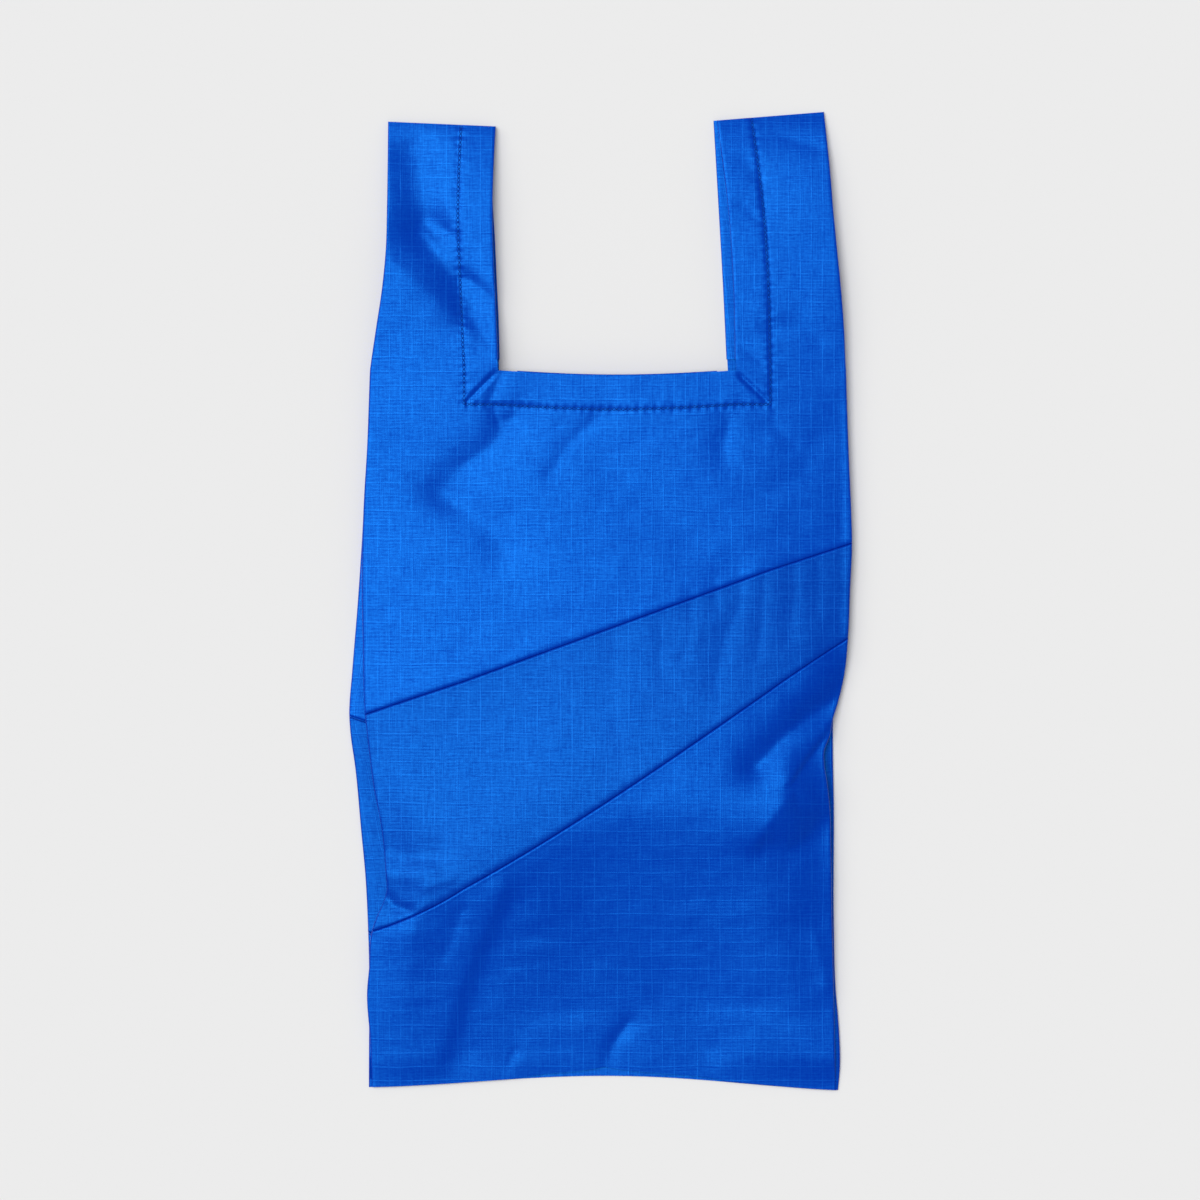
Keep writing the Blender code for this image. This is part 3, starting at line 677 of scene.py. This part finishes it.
def stitching():
    """The zigzag of two threads that holds the hem."""
    length, x, y = stitch_route()
    at = np.arange(STITCH_END, length[-1] - STITCH_END, STITCH_PITCH / 8)
    px, py = np.interp(at, length, x), np.interp(at, length, y)
    turn = np.gradient(np.stack([px, py], 1), axis=0)
    turn /= np.linalg.norm(turn, axis=1)[:, None]
    phase = at / STITCH_PITCH
    curve = bpy.data.curves.new("mouth_stitches", "CURVE")
    curve.dimensions = "3D"
    curve.bevel_depth = THREAD / 2
    curve.bevel_resolution = 2
    curve.use_fill_caps = True
    for side in (-1, 1):
        swing = side * STITCH_SWING * np.sin(2 * math.pi * phase)
        dive = (STITCH_DIVE * np.cos(4 * math.pi * phase)
                + side * STITCH_TILT * np.cos(2 * math.pi * phase))
        sx, sy = px - turn[:, 1] * swing, py + turn[:, 0] * swing
        sz = front_z(sx, sy) + CLOTH / 2 + STITCH_PROUD + dive
        spline = curve.splines.new("POLY")
        spline.points.add(len(at) - 1)
        for point, co in zip(spline.points, zip(sx, sy, sz)):
            point.co = (*co, 1)
    piece = bpy.data.objects.new("mouth_stitches", curve)
    bpy.context.scene.collection.objects.link(piece)
    return piece


# The materials
class Nodes:
    """A material's node tree, with short calls for the nodes used here."""

    def __init__(self, name):
        self.material = bpy.data.materials.new(name)
        self.material.use_nodes = True
        self.tree = self.material.node_tree
        self.shader = self.tree.nodes["Principled BSDF"]

    def add(self, kind, **settings):
        node = self.tree.nodes.new(kind)
        for key, value in settings.items():
            setattr(node, key, value)
        return node

    def link(self, value, socket):
        if isinstance(value, (int, float, tuple)):
            socket.default_value = value
        else:
            self.tree.links.new(value, socket)

    def math(self, operation, a, b=0.0, clamp=False):
        node = self.add("ShaderNodeMath", operation=operation, use_clamp=clamp)
        self.link(a, node.inputs[0])
        self.link(b, node.inputs[1])
        return node.outputs[0]

    def ramp(self, value, low, high):
        """0 below low and 1 above high, or the reverse when low is the larger."""
        node = self.add("ShaderNodeMapRange", interpolation_type="SMOOTHSTEP")
        self.link(value, node.inputs["Value"])
        node.inputs["From Min"].default_value = low
        node.inputs["From Max"].default_value = high
        return node.outputs["Result"]

    def noise(self, coordinates, scale, detail=2.0):
        """Noise over coordinates stretched by a scale in each direction."""
        mapping = self.add("ShaderNodeMapping")
        self.link(coordinates, mapping.inputs["Vector"])
        mapping.inputs["Scale"].default_value = scale
        node = self.add("ShaderNodeTexNoise", noise_dimensions="3D")
        self.link(mapping.outputs["Vector"], node.inputs["Vector"])
        node.inputs["Scale"].default_value = 1.0
        node.inputs["Detail"].default_value = detail
        return node.outputs["Fac"]

    def mix(self, fac, a, b):
        node = self.add("ShaderNodeMix", data_type="RGBA")
        self.link(fac, node.inputs[0])
        self.link(a, node.inputs[6])
        self.link(b, node.inputs[7])
        return node.outputs[2]


CELL_ACROSS = 0.0064      # spacing of the ripstop's doubled threads
CELL_UP = 0.0078
LINE_WIDTH = 0.00045
WARP_WANDER = 0.0016      # how far the grid's lines wander from straight
WEFT_WANDER = 0.0022
WEFT_SHADOW = 0.0007      # the weft's lines have a faint shadow this far below
FINE_SWAY = 0.0034        # and how far the fine threads between them sway


def ripstop(name, colour, light, dark, gloss_and_shade):
    """Plain-woven nylon with a grid of thicker threads, in the cloth's own coordinates."""
    n = Nodes(name)
    cloth = n.add("ShaderNodeUVMap", uv_map="cloth").outputs["UV"]
    split = n.add("ShaderNodeSeparateXYZ")
    n.link(cloth, split.inputs[0])
    u, v = split.outputs["X"], split.outputs["Y"]
    wander = n.math("SUBTRACT", n.noise(cloth, (30.0, 30.0, 1.0), 1.0), 0.5)
    u_bent = n.math("ADD", u, n.math("MULTIPLY", wander, WARP_WANDER))
    v_bent = n.math("ADD", v, n.math("MULTIPLY", wander, WEFT_WANDER))

    # The grid of thicker threads, here and there faint
    def grid_line(coordinate, cell):
        share = n.math("FRACT", n.math("DIVIDE", coordinate, cell))
        distance = n.math("ABSOLUTE", n.math("SUBTRACT", share, 0.5))
        return n.ramp(distance, LINE_WIDTH / cell, LINE_WIDTH / cell * 0.25)

    warp_line = grid_line(u_bent, CELL_ACROSS)
    weft_line = grid_line(v_bent, CELL_UP)
    weft_shade = grid_line(n.math("ADD", v_bent, WEFT_SHADOW), CELL_UP)
    warp_show = n.ramp(n.noise(cloth, (170.0, 40.0, 1.0), 3.0), 0.30, 0.72)
    weft_show = n.ramp(n.noise(cloth, (50.0, 190.0, 1.0), 3.0), 0.30, 0.72)
    warp = n.math("MULTIPLY", warp_line, warp_show)
    weft = n.math("MULTIPLY", weft_line, weft_show)
    lines = n.math("MAXIMUM", warp, weft)

    # Fine threads between those of the grid, wavy and here and there faint
    sway = n.math("SUBTRACT", n.noise(cloth, (22.0, 55.0, 1.0), 2.0), 0.5)
    v_sway = n.math("ADD", v_bent, n.math("MULTIPLY", sway, FINE_SWAY))

    def threads(coordinate, spacing):
        return n.math("SINE", n.math("MULTIPLY", coordinate, 2 * math.pi / spacing))

    weft_faint = n.ramp(n.noise(cloth, (35.0, 60.0, 1.0), 2.0), 0.30, 0.66)
    warp_faint = n.ramp(n.noise(cloth, (60.0, 30.0, 1.0), 2.0), 0.32, 0.68)
    fine_weft = n.math("MULTIPLY", threads(v_sway, CELL_UP / 4), weft_faint)
    fine_warp = n.math("MULTIPLY", threads(u_bent, CELL_ACROSS / 6), warp_faint)
    weft_streaks = n.noise(cloth, (90.0, 1300.0, 1.0), 1.0)
    warp_streaks = n.noise(cloth, (1400.0, 80.0, 1.0), 1.0)
    slubs = n.noise(cloth, (420.0, 1100.0, 1.0), 2.0)
    patches = n.noise(cloth, (16.0, 12.0, 1.0), 3.0)
    weave = n.math("ADD", n.math("MULTIPLY", weft_streaks, 0.50),
                   n.math("MULTIPLY", warp_streaks, 0.50))
    weave = n.math("ADD", weave, n.math("MULTIPLY", fine_weft, 0.07))
    weave = n.math("ADD", weave, n.math("MULTIPLY", fine_warp, 0.06))
    tone = n.ramp(weave, 0.30, 0.70)

    base = n.mix(tone, dark, colour)
    base = n.mix(n.math("MULTIPLY", n.ramp(slubs, 0.56, 0.74), 0.30), base, light)
    base = n.mix(n.math("MULTIPLY", n.ramp(patches, 0.35, 0.70), 0.12), base, light)
    base = n.mix(n.math("MULTIPLY", n.math("MULTIPLY", weft_shade, weft_show), 0.15), base, dark)
    base = n.mix(n.math("MULTIPLY", lines, 0.50), base, light)
    n.link(base, n.shader.inputs["Base Color"])

    # The threads' sheen, strongest on the thicker ones, in the panel's share of gloss, which is
    #     # under 1 on the band and the lower panel as painted shade
    sheen = n.math("ADD", n.math("MULTIPLY", tone, 0.38), n.math("MULTIPLY", lines, 0.40))
    sheen = n.math("ADD", sheen, 0.085)
    sheen = n.math("ADD", sheen, n.math("MULTIPLY", slubs, 0.75))
    sheen = n.math("SUBTRACT", sheen, n.math("MULTIPLY", weft_shade, 0.09), clamp=True)
    sheen = n.math("MULTIPLY", sheen, gloss_and_shade)
    n.link(sheen, n.shader.inputs["Specular IOR Level"])

    ridges = n.math("ADD", n.math("MULTIPLY", n.math("MAXIMUM", warp_line, weft_line), 0.5),
                    n.math("MULTIPLY", weave, 0.8))
    bump = n.add("ShaderNodeBump")
    bump.inputs["Strength"].default_value = 0.5
    bump.inputs["Distance"].default_value = 0.00010
    n.link(ridges, bump.inputs["Height"])
    n.link(bump.outputs["Normal"], n.shader.inputs["Normal"])
    n.shader.inputs["Roughness"].default_value = 0.34
    n.shader.inputs["IOR"].default_value = 1.78
    n.shader.inputs["Specular Tint"].default_value = (0.018, 0.34, 1.0, 1.0)
    return n.material


def thread_material():
    """Sewing thread of the cloth's blue, painted a darker blue as shade from the stitch holes.
    """
    n = Nodes("thread")
    place = n.add("ShaderNodeTexCoord").outputs["Object"]
    specks_in_shade = n.noise(place, (2600.0, 2600.0, 2600.0), 2.0)
    # Painted shade: darker than the cloth's blue, with specks nearer the cloth's own blue
    base = n.mix(n.ramp(specks_in_shade, 0.4, 0.65), (0.0004, 0.024, 0.28, 1), (0.002, 0.066, 0.48, 1))
    n.link(base, n.shader.inputs["Base Color"])
    n.shader.inputs["Roughness"].default_value = 0.5
    n.shader.inputs["Specular IOR Level"].default_value = 0.3
    n.shader.inputs["Specular Tint"].default_value = (0.10, 0.50, 1.0, 1.0)
    return n.material


# Lights: share of the light on the floor, degrees from overhead, softness in degrees
LIGHTS = (("softbox", 0.60, 16.5, 41), ("key", 0.12, 50, 40))
LIGHT_AZIMUTH = 152       # degrees from +X towards +Y
WORLD_SHARE = 0.29
FLOOR_REACH = 3.0         # from the middle to each side
FLOOR_COLOUR = (0.83, 0.83, 0.83, 1)


def floor_and_light():
    """A pale floor, two soft lamps from the same side and white surroundings."""
    mesh = bpy.data.meshes.new("floor")
    bm = bmesh.new()
    bmesh.ops.create_grid(bm, x_segments=1, y_segments=1, size=FLOOR_REACH)
    bm.to_mesh(mesh)
    bm.free()
    floor = bpy.data.objects.new("floor", mesh)
    bpy.context.scene.collection.objects.link(floor)
    n = Nodes("pale_floor")
    n.shader.inputs["Base Color"].default_value = FLOOR_COLOUR
    n.shader.inputs["Roughness"].default_value = 0.95
    n.shader.inputs["Specular IOR Level"].default_value = 0.0
    mesh.materials.append(n.material)
    for name, share, from_zenith, softness in LIGHTS:
        sun = bpy.data.lights.new(name, "SUN")
        zenith, azimuth = math.radians(from_zenith), math.radians(LIGHT_AZIMUTH)
        sun.energy = share * math.pi / math.cos(zenith)
        sun.angle = math.radians(softness)
        lamp = bpy.data.objects.new(name, sun)
        towards = Vector((math.sin(zenith) * math.cos(azimuth),
                          math.sin(zenith) * math.sin(azimuth), math.cos(zenith)))
        lamp.rotation_euler = towards.to_track_quat("Z", "Y").to_euler()
        bpy.context.scene.collection.objects.link(lamp)
    world = bpy.data.worlds.new("studio")
    world.use_nodes = True
    surroundings = world.node_tree.nodes["Background"]
    surroundings.inputs["Color"].default_value = (1, 1, 1, 1)
    surroundings.inputs["Strength"].default_value = WORLD_SHARE
    bpy.context.scene.world = world
    bpy.context.scene.view_settings.view_transform = "Standard"


FRAME_WIDTH = 0.6728      # metres that the photo's frame spans
FRAME_LEVEL = 0.008       # at this height over the floor
FRAME_MIDDLE = (-0.0003, 0.0008)
LENS = 200.0
SENSOR = 36.0


def camera():
    """Straight above the bag, as the photo's is."""
    data = bpy.data.cameras.new("camera")
    data.lens = LENS
    data.sensor_width = SENSOR
    data.clip_end = 50.0
    eye = bpy.data.objects.new("camera", data)
    eye.location = (*FRAME_MIDDLE, LENS / SENSOR * FRAME_WIDTH + FRAME_LEVEL)
    bpy.context.scene.collection.objects.link(eye)
    bpy.context.scene.camera = eye


camera()
floor_and_light()

# The nylon of each panel: its colour, its lighter and darker tones, and its gloss. The
# # panels are one nylon; the band's and the lower panel's darker colours and lower gloss are
# # painted shade
WEAVES = {
    "upper": ripstop("upper_nylon_weave", (0.0003, 0.036, 0.46, 1), (0.003, 0.078, 0.62, 1),
                     (0.0002, 0.030, 0.42, 1), 1.0),
    "band": ripstop("band_nylon_weave", (0.0004, 0.034, 0.41, 1), (0.005, 0.075, 0.57, 1),
                    (0.0002, 0.028, 0.37, 1), 0.83),
    "lower": ripstop("lower_nylon_weave", (0.0002, 0.034, 0.44, 1), (0.002, 0.066, 0.57, 1),
                     (0.0001, 0.029, 0.405, 1), 0.92),
}

# Rows close above the mouth, where the hems of the mouth and the straps meet
CORNER_ROWS = tuple((0.0008 * k, 0.0) for k in range(1, 9))
STRAP_GRID = 0.75         # share of the grid's spacing between the rows of the straps

for side in ("back", "front"):
    grid = GRID if side == "front" else FLOOR_GRID
    columns = columns_across(grid, GUSSET_GRID)
    lowest = front_bottom if side == "front" else bottom
    lower = rows_between(lowest, lower_seam, grid, high_rolls=BELOW_SEAM)
    band = rows_between(lower_seam, upper_seam, grid, ABOVE_SEAM, BELOW_SEAM)
    body = rows_between(upper_seam, hem_line, grid, ABOVE_SEAM)
    hem = rows_between(hem_line, mouth, HEM_GRID)[1:]
    strap = rows_between(mouth, handle_top, grid * STRAP_GRID, CORNER_ROWS)
    for name, rows, cut_from in (("lower", lower, None), ("band", band, None),
                                 ("upper", body + hem + strap, len(body) + len(hem) - 1)):
        piece = cloth_grid(f"{side}_{name}_cloth", side, columns, rows, cut_from)
        piece.data.materials.append(WEAVES[name])
        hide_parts(f"{side}_{name}_panel")
        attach(piece, "root")

thread = stitching()
thread.data.materials.append(thread_material())
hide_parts("mouth_stitching")
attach(thread, "root")
